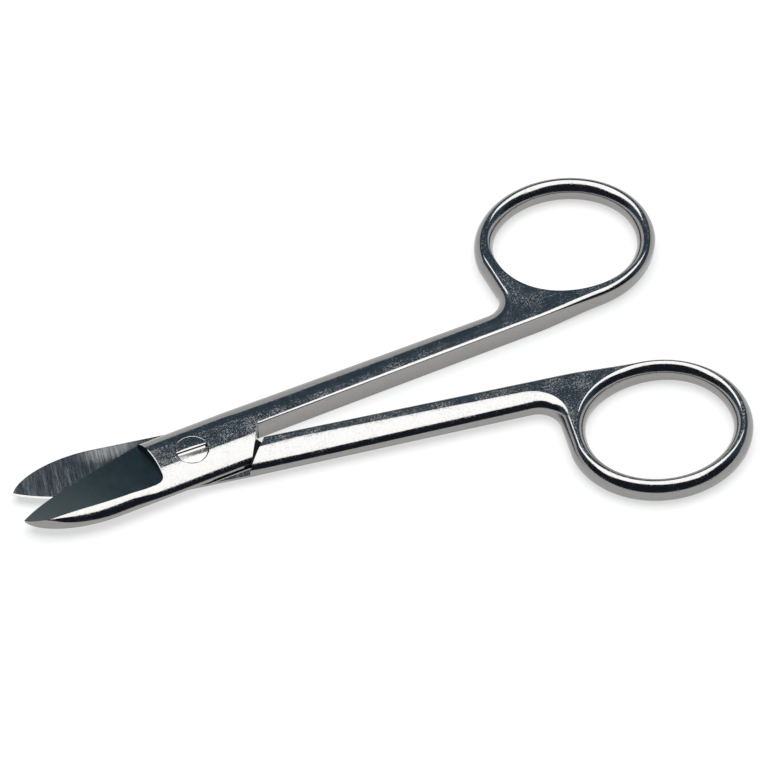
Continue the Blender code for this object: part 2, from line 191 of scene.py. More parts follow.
def ring_sides(angle):
    """Width and height of the ring's outer rounding, above and below. They change with the sine of the
    angle, because the ring was polished leaning over. Above, the rounding is lower by the shank."""
    near_shank = np.maximum(-np.sin(angle), 0.0) ** 3
    low = RING_EDGE_HEIGHT + (ROUND_HEIGHT - RING_EDGE_HEIGHT) * smooth_step(1.0 + np.sin(angle))
    return ((RING_OUTSIDE - RING_LESS_BY_SHANK * near_shank, low),
            (RING_OUTSIDE + RING_WIDER_BELOW + RING_LEAN_BELOW * np.sin(angle), ROUND_HEIGHT))


wall_start = np.array([end_line(INNER_WALL, JOINT_END, -1), INNER_WALL])
angles = np.linspace(-math.pi, 0.0, 8001)               # fine enough to find where a line touches
ring_x, ring_y = ring_curve(angles, RING_REACH)
touch_angle = angles[np.argmin(np.arctan2(ring_y - wall_start[1], ring_x - wall_start[0]))]
touch = np.array(ring_curve(touch_angle, RING_REACH))
print("the inner side meets the ring at", touch.round(2))

# %% Sides from the point to the ring
BLADE_POINTS, SHORT_POINTS, SHANK_POINTS, RING_POINTS = 22, 8, 24, 60
TOE_CROWDING, EDGE_CROWDING = 1.6, 1.5


def blade_back(fineness):
    """The back of the blade from the point, whose points crowd there as a power of their share, then
    straight to the slanting end of the joint, whose own edge is only broken."""
    t = np.linspace(0.0, 1.0, BLADE_POINTS * fineness, endpoint=False)
    x = -BLADE_LENGTH + TOE_LENGTH * t ** TOE_CROWDING
    toe = rows(x, spine_y(x), (back_rounding(x), back_height(x)), fullness=back_fullness(x))
    corner = end_line(-JOINT_HALF_WIDTH, JOINT_END, -1)
    x = np.linspace(-BLADE_LENGTH + TOE_LENGTH, corner, SHORT_POINTS * fineness, endpoint=False)
    back = rows(x, -JOINT_HALF_WIDTH, (back_rounding(x), back_height(x)), fullness=back_fullness(x))
    return [toe, back, rows(corner, -JOINT_HALF_WIDTH, (END_EDGE, END_EDGE))]


def inner_side(fineness):
    """The shank's straight inner side. Its narrow edge blends by a smooth step into the ring's."""
    t = np.linspace(0.0, 1.0, SHANK_POINTS * fineness, endpoint=False)
    x, y = wall_start[:, None] + t * (touch - wall_start)[:, None]
    blend = smooth_step((x - touch[0] + RING_BLEND) / RING_BLEND)
    edge = np.interp(x, [x[0], (x[0] + x[-1]) / 2], [INNER_EDGE, INNER_EDGE_WIDER])
    sides = [(edge + blend * (width - edge), INNER_EDGE_HEIGHT + blend * (height - INNER_EDGE_HEIGHT))
             for width, height in ring_sides(touch_angle)]
    return [rows(x, y, *sides, ELLIPSE + blend * (RING_FULLNESS - ELLIPSE))]


print("the blade is", round(edge_root + BLADE_LENGTH, 1), "mm long at its cutting edge")

# %% Sides from the ring back to the point
def ring_and_hollow(fineness):
    """Round the ring, then a quarter circle through the hollow beside it."""
    angle = np.linspace(touch_angle, math.pi, RING_POINTS * fineness)
    ring = rows(*ring_curve(angle, RING_REACH), *ring_sides(angle), RING_FULLNESS)
    t = np.linspace(0.0, 1.0, SHORT_POINTS * fineness)
    turn = -t * math.pi / 2
    hollow = rows(ring[-1, 0] - CROTCH_RADIUS + CROTCH_RADIUS * np.cos(turn),
                  INNER_WALL + SHANK_WIDTH_AT_RING + CROTCH_RADIUS * (1 + np.sin(turn)),
                  *[(width + t * (SHANK_ROUNDING_AT_RING - width), ROUND_HEIGHT)
                    for width, height in ring_sides(math.pi)],
                  RING_FULLNESS + t * (ELLIPSE - RING_FULLNESS))
    return [ring, hollow]


def outer_side_and_edge(fineness, start):
    """Straight along the outer side of the shank and the joint, then down the cutting edge."""
    t = np.linspace(0.0, 1.0, SHANK_POINTS * fineness)[1:]
    x = start[0] + t * (JOINT_END - start[0])
    y = start[1] + t * (JOINT_HALF_WIDTH - start[1])
    width = np.interp(x, [0.0, SHANK_ROUNDING_START, RING_X - RING_LONG / 2 - RIM],
                      [JOINT_ROUNDING, SHANK_ROUNDING, SHANK_ROUNDING_AT_RING])
    outer = rows(x, y, (width, ROUND_HEIGHT))
    x = np.linspace(JOINT_END, edge_root, SHORT_POINTS * fineness + 1)[1:-1]
    top = rows(x, JOINT_HALF_WIDTH, (JOINT_ROUNDING, ROUND_HEIGHT))
    t = np.linspace(0.0, 1.0, BLADE_POINTS * fineness + 1)[1:]
    x = -BLADE_LENGTH + (edge_root + BLADE_LENGTH) * t[::-1] ** EDGE_CROWDING
    return [outer, top, rows(x, edge_line(x), (edge_rounding(x), ROUND_HEIGHT))]


print("the inner side is", round(float(np.hypot(*(touch - wall_start))), 1), "mm long")

# %% The whole outline and the hole
def half_outline(fineness):
    """All sides of a half anticlockwise, with a number of points that grows with the fineness."""
    ring = ring_and_hollow(fineness)
    return np.concatenate([*blade_back(fineness), *inner_side(fineness), *ring,
                           *outer_side_and_edge(fineness, ring[-1][-1])])


def hole_outline(fineness):
    """The finger hole, clockwise, so that the metal lies on its left as it does for the outline. It is
    wider by the shank's inner side, and its edge above is sharper where the web is."""
    angle = np.linspace(0.0, -2 * math.pi, RING_POINTS * fineness, endpoint=False)
    above = RING_INSIDE + HOLE_WIDER_ABOVE + HOLE_LEAN_ABOVE * np.sin(angle)
    web = smooth_step(WEB_SPREAD * np.cos(angle - math.radians(WEB_DEG)) + WEB_START)
    wider = HOLE_WIDER * smooth_step(-np.sin(angle))
    return rows(*ring_curve(angle, wider), (above + (RING_INSIDE_AT_WEB - above) * web, ROUND_HEIGHT),
                (RING_INSIDE - HOLE_LEAN_BELOW * np.sin(angle), ROUND_HEIGHT), RING_FULLNESS)


FINENESS = 4
outline, hole = half_outline(FINENESS), hole_outline(FINENESS)
print("outline points:", len(outline), "hole points:", len(hole))

# %% [markdown]
# ## Rounded edges
# A polished forging is rounded from its flat faces down to its sides, and its bands of light and dark
# show that rounding. A Bevel modifier would round every edge alike, so the outline is repeated at many
# heights, and at each height every point moves inwards by what a superellipse asks for. A fullness of
# 2 makes it an ellipse, and the buffed back of the blade and the rings are a little flatter. At a
# corner the two neighbouring sides are drawn in separately and the point goes to where they cross, so
# the wide rounding of the joint runs straight off its end face.

# %% Loops at every height
QUARTER_STEPS = 14
CORNER_TURN = 0.35                            # sine of the turn from which a point is a corner


def inset_at(width, height, fullness, z):
    """Superellipse: width times one less the nth root of one less the nth power of the share of the
    height, where n is the fullness."""
    reach = np.maximum(np.maximum(height - z, z - (THICKNESS - height)), 0.0)
    return width * (1.0 - (1.0 - np.minimum(reach / height, 1.0) ** fullness) ** (1.0 / fullness))


def unit(vectors):
    return vectors / np.linalg.norm(vectors, axis=-1, keepdims=True)


def rounded_loops(line):
    """An array of levels, points and xyz: the outline drawn in by each side's own rounding. Levels lie
    closer towards the flat faces, by one less the cosine of their share of a quarter turn."""
    points, fullness = line[:, :2], line[:, 6]
    ahead = unit(np.roll(points, -1, axis=0) - points)
    behind = np.roll(ahead, 1, axis=0)
    inward = np.stack([-ahead[:, 1], ahead[:, 0]], axis=1)
    inward_behind = np.roll(inward, 1, axis=0)
    above, below = [np.maximum(line[:, column], np.roll(line[:, column], 1)) for column in (3, 5)]
    turn = ahead[:, 0] * behind[:, 1] - ahead[:, 1] * behind[:, 0]
    share = 1.0 - np.cos(np.linspace(0.0, math.pi / 2, QUARTER_STEPS + 1))
    z = np.concatenate([below * share[:, None], THICKNESS - above * share[::-1, None]])
    width, height = [np.where(z > THICKNESS / 2, line[:, column], line[:, column + 2])
                     for column in (2, 3)]
    inset = inset_at(width, height, fullness, z)[..., None]
    inset_behind = inset_at(np.roll(width, 1, axis=1), np.roll(height, 1, axis=1), np.roll(fullness, 1),
                            z)[..., None]
    moved = points + unit(inward + inward_behind) * (inset + inset_behind) / 2
    across = inward_behind * inset - inward * inset_behind
    sharp = (np.abs(turn) > CORNER_TURN)[:, None]
    crossing = points + np.stack([across[..., 1], -across[..., 0]], axis=-1) / np.where(
        sharp, turn[:, None], 1.0)
    return np.concatenate([np.where(sharp, crossing, moved), z[..., None]], axis=-1)


loops = [rounded_loops(outline), rounded_loops(hole)]
print("levels:", loops[0].shape[0], "points:", sum(level.shape[0] * level.shape[1] for level in loops))

# %% [markdown]
# ## From loops to a closed plate
# Neighbouring loops are joined by four-sided faces. The flat faces above and below have the finger
# hole in them, which a single Blender face can't have, and filling the hole and cutting it again would
# spoil its rim. So they are filled by Blender's own triangulation of a plane, which keeps every edge.

# %% Plate
FILL_TOLERANCE = 1e-6


def band_faces(levels, count, first):
    """Four-sided faces between neighbouring levels: corner i, i + 1, and the same two one level up."""
    i = np.arange(count)
    start = first + count * np.arange(levels - 1)[:, None]
    low, following = start + i, start + (i + 1) % count
    return np.stack([low, following, following + count, low + count], axis=-1).reshape(-1, 4)


def flat_faces(rims, numbers):
    """Triangles over the outer rim but not the hole, whose own triangles touch the inner rim alone."""
    points = [Vector(point) for rim in rims for point in rim[:, :2].tolist()]
    edges, first = [], 0
    for rim in rims:
        i = np.arange(len(rim))
        edges += np.column_stack([first + i, first + (i + 1) % len(rim)]).tolist()
        first += len(rim)
    filled = delaunay_2d_cdt(points, edges, [], 1, FILL_TOLERANCE)
    triangles = np.array([[filled[3][corner][0] for corner in face] for face in filled[2]])
    return numbers[triangles[triangles.min(axis=1) < len(rims[0])]]


def plate_mesh(loops):
    """The bands of the outline and of the hole, closed by a flat face below and one above."""
    vertices = np.concatenate([level.reshape(-1, 3) for level in loops]) * MM
    firsts = np.cumsum([0] + [level.shape[0] * level.shape[1] for level in loops])
    faces = [band_faces(*level.shape[:2], first).tolist() for level, first in zip(loops, firsts)]
    for row in (0, loops[0].shape[0] - 1):
        numbers = np.concatenate([first + row * level.shape[1] + np.arange(level.shape[1])
                                  for level, first in zip(loops, firsts)])
        faces.append(flat_faces([level[row] for level in loops], numbers).tolist())
    mesh = bpy.data.meshes.new("forging")
    mesh.from_pydata(vertices, [], sum(faces, []))
    shape = bmesh.new()
    shape.from_mesh(mesh)
    bmesh.ops.recalc_face_normals(shape, faces=shape.faces)
    shape.to_mesh(mesh)
    shape.free()
    return mesh


plate = plate_mesh(loops)
print("plate faces:", len(plate.polygons))

# %% [markdown]
# ## What is ground off
# Half the forging's thickness is ground off where the halves lap each other, the outer face of the
# blade is bevelled down to the cutting edge, and the joint is bored for the screw. A stone then hones
# a thin strip along the edge, and the corner where the bevel stops is broken. All of it could go into
# the outline's formulas, but a cutter is simpler as its own closed shape. Boolean modifiers take the
# cutters off and give each cut face the cutter's own finish, so no ground face is looked for later.

# %% Closed cutters
finishes = {name: bpy.data.materials.new(name) for name in
            ("polished_steel", "ground_bevel", "ground_inner_face", "bored_steel", "screw_steel")}


def closed_mesh(name, shape, finish):
    """A bmesh made into a mesh whose faces point outwards and all carry one finish."""
    bmesh.ops.recalc_face_normals(shape, faces=shape.faces)
    mesh = bpy.data.meshes.new(name)
    shape.to_mesh(mesh)
    shape.free()
    mesh.materials.append(finishes[finish])
    return mesh


def prism(name, corners, low, high, finish):
    """A plan outline in millimetres carried straight up from one height to another."""
    shape = bmesh.new()
    corners = np.asarray(corners, float)
    base = [shape.verts.new((x * MM, y * MM, low * MM)) for x, y in corners]
    face = shape.faces.new(base)
    risen = bmesh.ops.extrude_face_region(shape, geom=[face])["geom"]
    moved = [item for item in risen if isinstance(item, bmesh.types.BMVert)]
    bmesh.ops.translate(shape, verts=moved, vec=(0, 0, (high - low) * MM))
    return closed_mesh(name, shape, finish)


reach, shoulder = 2 * JOINT_HALF_WIDTH, JOINT_END + SHOULDER_GAP
relief = prism("lap_relief", [(-BLADE_LENGTH - reach, -reach), (end_line(-reach, shoulder, 1), -reach),
                              (end_line(reach, shoulder, 1), reach), (-BLADE_LENGTH - reach, reach)],
               -THICKNESS, (THICKNESS + FACE_GAP) / 2, "ground_inner_face")
print("lap relief faces:", len(relief.polygons))

# %% Ground face of the blade
BLOCK_COLUMNS, BLOCK_ROWS, LEAST_WIDTH = 90, 24, 1e-9
STOP_CORNER_POINTS, STOP_CURVE_POINTS = 24, 80


def bevel_z(x, y):
    """Height of the ground face. Its slope is its rise over its width, from the cutting edge to the
    back's rounding, so that it runs out along one smooth line. Past the point there is no width."""
    share = (back_rounding(x) - run_out(x)) / np.maximum(back_rounding(x), LEAST_WIDTH)
    rounded_off = back_height(x) * (1.0 - (1.0 - share ** back_fullness(x)) ** (1.0 / back_fullness(x)))
    ground_width = np.maximum(blade_width(x) - run_out(x), LEAST_WIDTH)
    slope = np.minimum((THICKNESS - rounded_off - EDGE_Z) / ground_width, bevel_slope(x))
    return EDGE_Z + slope * (edge_line(x) - y)


def bevel_block(columns, across):
    """A block over the blade whose underside is the ground face."""
    x = np.linspace(-BLADE_LENGTH - SPARE, SPARE, columns)
    y = np.linspace(-JOINT_HALF_WIDTH - SPARE, JOINT_HALF_WIDTH + SPARE, across)
    x, y = [grid.ravel() for grid in np.meshgrid(x, y, indexing="ij")]
    under = np.column_stack([x, y, bevel_z(x, y)])
    over = np.column_stack([x, y, np.full(len(x), 3 * THICKNESS)])
    i, j = np.meshgrid(np.arange(columns - 1), np.arange(across - 1), indexing="ij")
    corner = (i * across + j).ravel()
    quads = np.column_stack([corner, corner + 1, corner + across + 1, corner + across])
    rim = np.concatenate([np.arange(across), across * np.arange(2, columns + 1) - 1,
                          across * columns - 1 - np.arange(1, across),
                          across * np.arange(columns - 2, 0, -1)])
    walls = np.column_stack([rim, np.roll(rim, -1), np.roll(rim, -1) + len(x), rim + len(x)])
    mesh = bpy.data.meshes.new("bevel_block")
    mesh.from_pydata(np.concatenate([under, over]) * MM, [],
                     quads.tolist() + (quads[:, ::-1] + len(x)).tolist() + walls.tolist())
    shape = bmesh.new()
    shape.from_mesh(mesh)
    return closed_mesh("bevel_block", shape, "ground_bevel")


def bevel_stop():
    """Plan of the ground area: a curve that falls back by y squared over twice its radius, a round
    corner, and a straight side that leaves the blade."""
    reach, low = 2 * JOINT_HALF_WIDTH, BEVEL_STOP_CORNER - BEVEL_STOP_LOW
    centre_x = -BLADE_ROOT - low ** 2 / (2 * BEVEL_STOP_RADIUS) - BEVEL_STOP_CORNER
    fall = math.radians(BEVEL_STOP_FALL_DEG)
    turn = np.linspace(fall - math.pi / 2, 0.0, STOP_CORNER_POINTS)
    corner = np.column_stack([centre_x + BEVEL_STOP_CORNER * np.cos(turn),
                              low + BEVEL_STOP_CORNER * np.sin(turn)])
    y = np.linspace(low, reach, STOP_CURVE_POINTS)[1:]
    curve = np.column_stack([-BLADE_ROOT - y ** 2 / (2 * BEVEL_STOP_RADIUS), y])
    far = -BLADE_LENGTH - reach
    return np.concatenate([[(far, corner[0, 1] - (corner[0, 0] - far) * math.tan(fall))], corner, curve,
                           [(far, reach)]])


stop = prism("bevel_stop", bevel_stop(), 0.0, 2 * THICKNESS, "ground_bevel")
block = bevel_block(BLOCK_COLUMNS, BLOCK_ROWS)
print("bevel height 8 mm before the pivot:", round(float(bevel_z(-8.0, 0.0)), 2), "mm")

# %% Honed strip and broken corner
HONE_POINTS = 90


def bar(name, line, outward, section, finish):
    """A closed bar along a plan line. Each corner of its section is an offset outwards and a height,
    and may change along the line."""
    count = len(line)
    points = np.concatenate([np.column_stack([line + np.broadcast_to(offset, count)[:, None] * outward,
                                              np.broadcast_to(z, count)]) for offset, z in section])
    i = np.arange(count - 1)
    start = count * np.arange(len(section))[:, None]
    following = np.roll(start, -1)
    sides = np.stack([start + i, start + i + 1, following + i + 1, following + i], axis=-1)
    ends = [start[:, 0].tolist(), (start[::-1, 0] + count - 1).tolist()]
    mesh = bpy.data.meshes.new(name)
    mesh.from_pydata(points * MM, [], sides.reshape(-1, 4).tolist() + ends)
    shape = bmesh.new()
    shape.from_mesh(mesh)
    return closed_mesh(name, shape, finish)


def honing():
    """A wedge under the inner face along the cutting edge, which runs out towards the joint."""
    x = np.linspace(-BLADE_LENGTH - SPARE, HONE_END, HONE_POINTS)
    inner_face = (THICKNESS + FACE_GAP) / 2
    width = HONE_WIDTH * np.minimum(1.0, (HONE_END - x) / HONE_FADE)
    risen = inner_face + (width + SPARE) * HONE_RISE / HONE_WIDTH
    return bar("honing", np.column_stack([x, edge_line(x)]), np.array([0.0, 1.0]),
               [(-width, inner_face), (SPARE, risen), (SPARE, inner_face - SPARE),
                (-width, inner_face - SPARE)], "polished_steel")


def stop_break():
    """The small chamfer where the ground face's wall meets the flat face."""
    line = bevel_stop()[1:-1]
    ahead = unit(np.gradient(line, axis=0))
    outward = np.stack([ahead[:, 1], -ahead[:, 0]], axis=1)
    low = THICKNESS - STOP_BREAK_DEPTH
    return bar("stop_break", line, outward,
               [(-STOP_BREAK, low), (0.0, low), (2 * STOP_BREAK, low + 2 * STOP_BREAK_DEPTH),
                (-STOP_BREAK, low + 2 * STOP_BREAK_DEPTH)], "polished_steel")


hone_cutter, break_cutter = honing(), stop_break()
print("honed strip", HONE_WIDTH, "mm wide, broken corner", STOP_BREAK, "mm wide")

# %% [markdown]
# ## The screw and its bores
# The halves turn on a countersunk screw. Its head was polished together with the joint, so it follows
# the rounded back, and its rim and the worn shoulders of its slot catch the light. Stacked cylinders
# would need joining, but a turned part is one profile of radius and height swept round an axis, so one
# function makes the screw, its countersink and the hole for its thread.

# %% Turned parts
HEAD_DIAMETER, HEAD_RIM, SHANK_DIAMETER, TIP_CHAMFER = 5.1, 0.25, 3.0, 0.3
HEAD_GAP, BORE_GAP, THREAD_GAP = 0.1, 0.1, 0.05
SLOT_WIDTH, SLOT_WALL, SLOT_VALLEY, SLOT_DEG = 0.74, 0.36, 0.08, 3.0
SHOULDER, SHOULDER_DROP = 0.26, 0.09
EDGE_BREAK, EDGE_BREAK_DROP, HEAD_DOME = 0.07, 0.03, 0.05
TURN_STEPS, HEAD_RINGS, POLE_MERGE = 160, 24, 1e-7


def turned(name, profile, finish):
    """Every profile point swept round Z: x is radius times cosine, y is radius times sine."""
    profile = np.asarray(profile, float)
    angle = np.linspace(0.0, 2 * math.pi, TURN_STEPS, endpoint=False)[:, None]
    radius, z = profile[:, 0], profile[:, 1]
    points = np.stack([radius * np.cos(angle), radius * np.sin(angle), z + 0 * angle], axis=-1)
    shape = bmesh.new()
    grid = [[shape.verts.new(point) for point in line] for line in (points * MM).tolist()]
    for line, following in zip(grid, grid[1:] + grid[:1]):
        for i in range(len(profile) - 1):
            shape.faces.new((line[i], following[i], following[i + 1], line[i + 1]))
    bmesh.ops.remove_doubles(shape, verts=shape.verts, dist=POLE_MERGE)
    return closed_mesh(name, shape, finish)


cone, bore = HEAD_DIAMETER / 2 + HEAD_GAP, SHANK_DIAMETER / 2 + BORE_GAP
rim = THICKNESS - HEAD_RIM
countersink = turned("countersink", [
    (0, THICKNESS + SPARE), (cone + EDGE_BREAK * (1 + SPARE / EDGE_BREAK_DROP), THICKNESS + SPARE),
    (cone, THICKNESS - EDGE_BREAK_DROP), (cone, rim), (bore, rim - cone + bore), (bore, -SPARE),
    (0, -SPARE)], "bored_steel")
thread = SHANK_DIAMETER / 2 + THREAD_GAP
threaded_hole = turned("threaded_hole", [
    (0, THICKNESS + SPARE), (thread, THICKNESS + SPARE), (thread, -SPARE), (0, -SPARE)],
    "bored_steel")
head, shank = HEAD_DIAMETER / 2, SHANK_DIAMETER / 2
screw_blank = turned("screw_blank", [
    *[(radius, THICKNESS) for radius in np.linspace(0.0, head - EDGE_BREAK, HEAD_RINGS)],
    (head, THICKNESS - EDGE_BREAK_DROP), (head, rim),
    (shank, rim - head + shank), (shank, TIP_CHAMFER), (shank - TIP_CHAMFER, 0), (0, 0)],
    "screw_steel")
print("turned parts:", [part.name for part in (countersink, threaded_hole, screw_blank)])

# %% Head and slot
def polished_with_back(mesh):
    """Domes the head by the square of the radius, and lowers it with the joint's rounded back: one
    less the root of one less the squared share of the way over the rounding."""
    points = np.empty(len(mesh.vertices) * 3)
    mesh.vertices.foreach_get("co", points)
    points = points.reshape(-1, 3)
    tilt = math.radians(OPEN_DEG / 2)
    across = points[:, 0] * math.sin(tilt) - points[:, 1] * math.cos(tilt)
    share = np.clip((across / MM - JOINT_HALF_WIDTH + BACK_ROUNDING) / BACK_ROUNDING, 0.0, 1.0)
    fall = JOINT_BACK_HEIGHT * (1.0 - np.sqrt(1.0 - share ** 2))
    fall += HEAD_DOME * (points[:, 0] ** 2 + points[:, 1] ** 2) / (HEAD_DIAMETER / 2 * MM) ** 2
    top = points[:, 2] > (THICKNESS - 2 * EDGE_BREAK_DROP) * MM
    points[top, 2] -= fall[top] * MM
    mesh.vertices.foreach_set("co", points.ravel())


def slot_block():
    """A bar along the slot. Its section has sloping shoulders, short walls and a shallow valley."""
    half, floor, top = SLOT_WIDTH / 2, THICKNESS - SHOULDER_DROP - SLOT_WALL, THICKNESS + SPARE
    far = half + SHOULDER * (1 + SPARE / SHOULDER_DROP)
    section = [(0, floor - SLOT_VALLEY), (half, floor), (half, THICKNESS - SHOULDER_DROP), (far, top),
               (-far, top), (-half, THICKNESS - SHOULDER_DROP), (-half, floor)]
    shape = bmesh.new()
    base = [shape.verts.new((-HEAD_DIAMETER * MM, y * MM, z * MM)) for y, z in section]
    risen = bmesh.ops.extrude_face_region(shape, geom=[shape.faces.new(base)])["geom"]
    moved = [item for item in risen if isinstance(item, bmesh.types.BMVert)]
    bmesh.ops.translate(shape, verts=moved, vec=(2 * HEAD_DIAMETER * MM, 0, 0))
    bmesh.ops.rotate(shape, verts=shape.verts, matrix=Matrix.Rotation(math.radians(SLOT_DEG), 3, "Z"))
    return closed_mesh("screw_slot", shape, "screw_steel")


polished_with_back(screw_blank)
print("screw head", HEAD_DIAMETER, "mm, slot", SLOT_WIDTH, "mm wide")

# %% [markdown]
# ## Cutting and shading
# The cutters are taken off with exact Booleans and the result is kept as a plain mesh. Live Booleans
# would work too, but then no edge could be marked. A curved face is shaded smooth and a real corner
# stays sharp, so corners are found by their angle. The rim of a level face stays sharp as well: the
# long triangles that fill the face would drag the shading of the rounding about. Weighted normals then
# let the large faces decide the shading, and no dark smear is left beside them.

# %% Cut, place and shade
SHARP_DEG, LEVEL_NORMAL, CUT_MERGE = 13.0, 0.99999, 2e-7


def baked(name, mesh, steps):
    """The mesh after its Booleans. A step is an operation, a cutter mesh and the cutter's placement."""
    body = bpy.data.objects.new(name, mesh)
    bpy.context.scene.collection.objects.link(body)
    helpers = [body]
    for operation, cutter, placement in steps:
        helper = bpy.data.objects.new(cutter.name, cutter)
        bpy.context.scene.collection.objects.link(helper)
        helper.matrix_world = placement
        helpers.append(helper)
        boolean = body.modifiers.new(cutter.name, "BOOLEAN")
        boolean.operation, boolean.solver = operation, "EXACT"
        boolean.material_mode = "TRANSFER"
        boolean.object = helper
    bpy.context.view_layer.update()
    result = bpy.data.meshes.new_from_object(body.evaluated_get(bpy.context.evaluated_depsgraph_get()))
    for helper in helpers:
        bpy.data.objects.remove(helper)
    result.name = name
    return result


def finished(name, mesh, placement, body, node):
    """A piece in place, shaded, riding on its body and standing for its plain node."""
    mesh.transform(placement)
    shape = bmesh.new()
    shape.from_mesh(mesh)
    bmesh.ops.remove_doubles(shape, verts=shape.verts, dist=CUT_MERGE)
    bmesh.ops.dissolve_degenerate(shape, edges=shape.edges, dist=CUT_MERGE)
    for face in shape.faces:
        face.smooth = True
    shape.normal_update()
    level = {face for face in shape.faces if abs(face.normal.z) > LEVEL_NORMAL}
    for edge in shape.edges:
        flat_rim = len(level.intersection(edge.link_faces)) == 1
        edge.smooth = (edge.is_manifold and not flat_rim
                       and edge.calc_face_angle(0.0) < math.radians(SHARP_DEG))
    open_edges = sum(not edge.is_manifold for edge in shape.edges)
    shape.to_mesh(mesh)
    shape.free()
    piece = bpy.data.objects.new(name, mesh)
    bpy.context.scene.collection.objects.link(piece)
    weighted = piece.modifiers.new("flat faces lead", "WEIGHTED_NORMAL")
    weighted.keep_sharp = True
    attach(piece, body)
    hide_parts(node)
    print(name, "faces:", len(mesh.polygons), "open edges:", open_edges,
          "finishes:", [m.name for m in mesh.materials])
    return piece


print("corners are sharper than", SHARP_DEG, "degrees")

# %% The ground half and its two places
here = Matrix.Identity(4)
swing = Matrix.Rotation(math.radians(OPEN_DEG / 2), 4, "Z")
turned_over = Matrix.Translation((0, 0, THICKNESS * MM)) @ Matrix.Rotation(math.pi, 4, "X")
placements = {"upper": swing, "lower": swing.inverted() @ turned_over}
plate.materials.append(finishes["polished_steel"])
bevel = baked("bevel", block, [("INTERSECT", stop, here)])
ground = baked("ground_half", plate, [("DIFFERENCE", cutter, here)
                                      for cutter in (relief, bevel, break_cutter, hone_cutter)])
print("faces after grinding:", len(ground.polygons))

# %% The three pieces
upper_mesh = baked("upper_snip", ground.copy(),
                   [("DIFFERENCE", countersink, placements["upper"].inverted())])
lower_mesh = baked("lower_snip", ground.copy(),
                   [("DIFFERENCE", threaded_hole, placements["lower"].inverted())])
upper_snip = finished("upper_snip", upper_mesh, placements["upper"], "upper", "upper_half")
lower_snip = finished("lower_snip", lower_mesh, placements["lower"], "lower", "lower_half")
screw_mesh = baked("slotted_screw", screw_blank, [("DIFFERENCE", slot_block(), here)])
slotted_screw = finished("slotted_screw", screw_mesh, here, "lower", "pivot_screw")

# %% [markdown]
# ## Writing a finish
# A finish is a tree of shader nodes. It could be wired by hand in the Shader Editor, but a script is
# easier to read and to change. Written node by node it is long, so a small class wraps a socket and
# lets plain arithmetic add the Math nodes, and one method adds any other node.

# %% Arithmetic on sockets
class Level:
    """A number that varies over a surface. Arithmetic on it adds Math nodes."""

    def __init__(self, finish, socket):
        self.finish, self.socket = finish, socket

    def math(self, operation, *values):
        return self.finish.node("ShaderNodeMath", {"operation": operation}, dict(enumerate(values)))

    def __add__(self, other):
        return self.math("ADD", self, other)

    def __sub__(self, other):
        return self.math("SUBTRACT", self, other)

    def __rsub__(self, other):
        return self.math("SUBTRACT", other, self)

    def __mul__(self, other):
        return self.math("MULTIPLY", self, other)

    __radd__, __rmul__ = __add__, __mul__


class Finish:
    """The node tree of one material, with its Principled shader."""

    def __init__(self, material):
        material.use_nodes = True
        self.tree = material.node_tree
        self.shader = self.tree.nodes["Principled BSDF"]
        self.place = self.node("ShaderNodeTexCoord", {}, {}, "Object")

    def node(self, kind, settings, values, output=0):
        """Adds a node: its settings first, then a value or a link for each named or numbered socket."""
        made = self.tree.nodes.new(kind)
        for name, value in settings.items():
            setattr(made, name, value)
        for name, value in values.items():
            self.give(made.inputs[name], value)
        return Level(self, made.outputs[output])

    def give(self, socket, value):
        if isinstance(value, Level):
            self.tree.links.new(value.socket, socket)
        else:
            socket.default_value = value

    def shade(self, **values):
        for name, value in values.items():
            self.give(self.shader.inputs[name.replace("_", " ")], value)

    def mapped(self, scale, turn=0.0):
        """Object coordinates turned about Z, then stretched. One Mapping node would stretch first."""
        return self.node("ShaderNodeMapping", {}, {
            "Vector": self.node("ShaderNodeMapping", {}, {"Vector": self.place, "Rotation": (0, 0, turn)}),
            "Scale": scale})

    def noise(self, vector, scale, detail=3.0, roughness=0.55):
        return self.node("ShaderNodeTexNoise", {"normalize": True}, {
            "Vector": vector, "Scale": scale, "Detail": detail, "Roughness": roughness})

    def ramp(self, level, low, high):
        """0 at the low value and 1 at the high one, with a smooth step between them."""
        return self.node("ShaderNodeMapRange", {"interpolation_type": "SMOOTHSTEP"}, {
            "Value": level, "From Min": low, "From Max": high})

    def blend(self, share, first, second):
        """The first colour where the share is 0 and the second where it is 1."""
        return self.node("ShaderNodeMix", {"data_type": "RGBA"}, {
            0: share, 6: first, 7: second}, 2)

    def bump(self, height, distance):
        return self.node("ShaderNodeBump", {}, {"Height": height, "Distance": distance})

    def see_through_from_below(self):
        """The back of a face lets light through, so a camera under the table sees the object."""
        below = self.node("ShaderNodeNewGeometry", {}, {}, "Backfacing")
        clear = self.tree.nodes.new("ShaderNodeBsdfTransparent")
        mixed = self.node("ShaderNodeMixShader", {}, {0: below})
        self.tree.links.new(self.shader.outputs[0], mixed.socket.node.inputs[1])
        self.tree.links.new(clear.outputs[0], mixed.socket.node.inputs[2])
        self.tree.links.new(mixed.socket, self.tree.nodes["Material Output"].inputs["Surface"])


def tinted(colour, tint):
    """A colour times a tint, channel by channel, with an alpha of 1."""
    return (*[channel * share for channel, share in zip(colour, tint)], 1.0)


print("finishes to write:", sorted(finishes))

# %% [markdown]
# ## Polished steel
# The forging is polished on soft wheels. It mirrors the room, but not perfectly: the surface waves a
# little, wheel marks run along it, and small pits and rubbed patches scatter the light of the softbox
# into the dark parts. One even roughness would look like plastic foil, so these live in the roughness
# and in a bump of a few thousandths of a millimetre, all on Object coordinates. A scale is a number of
# waves in a metre.

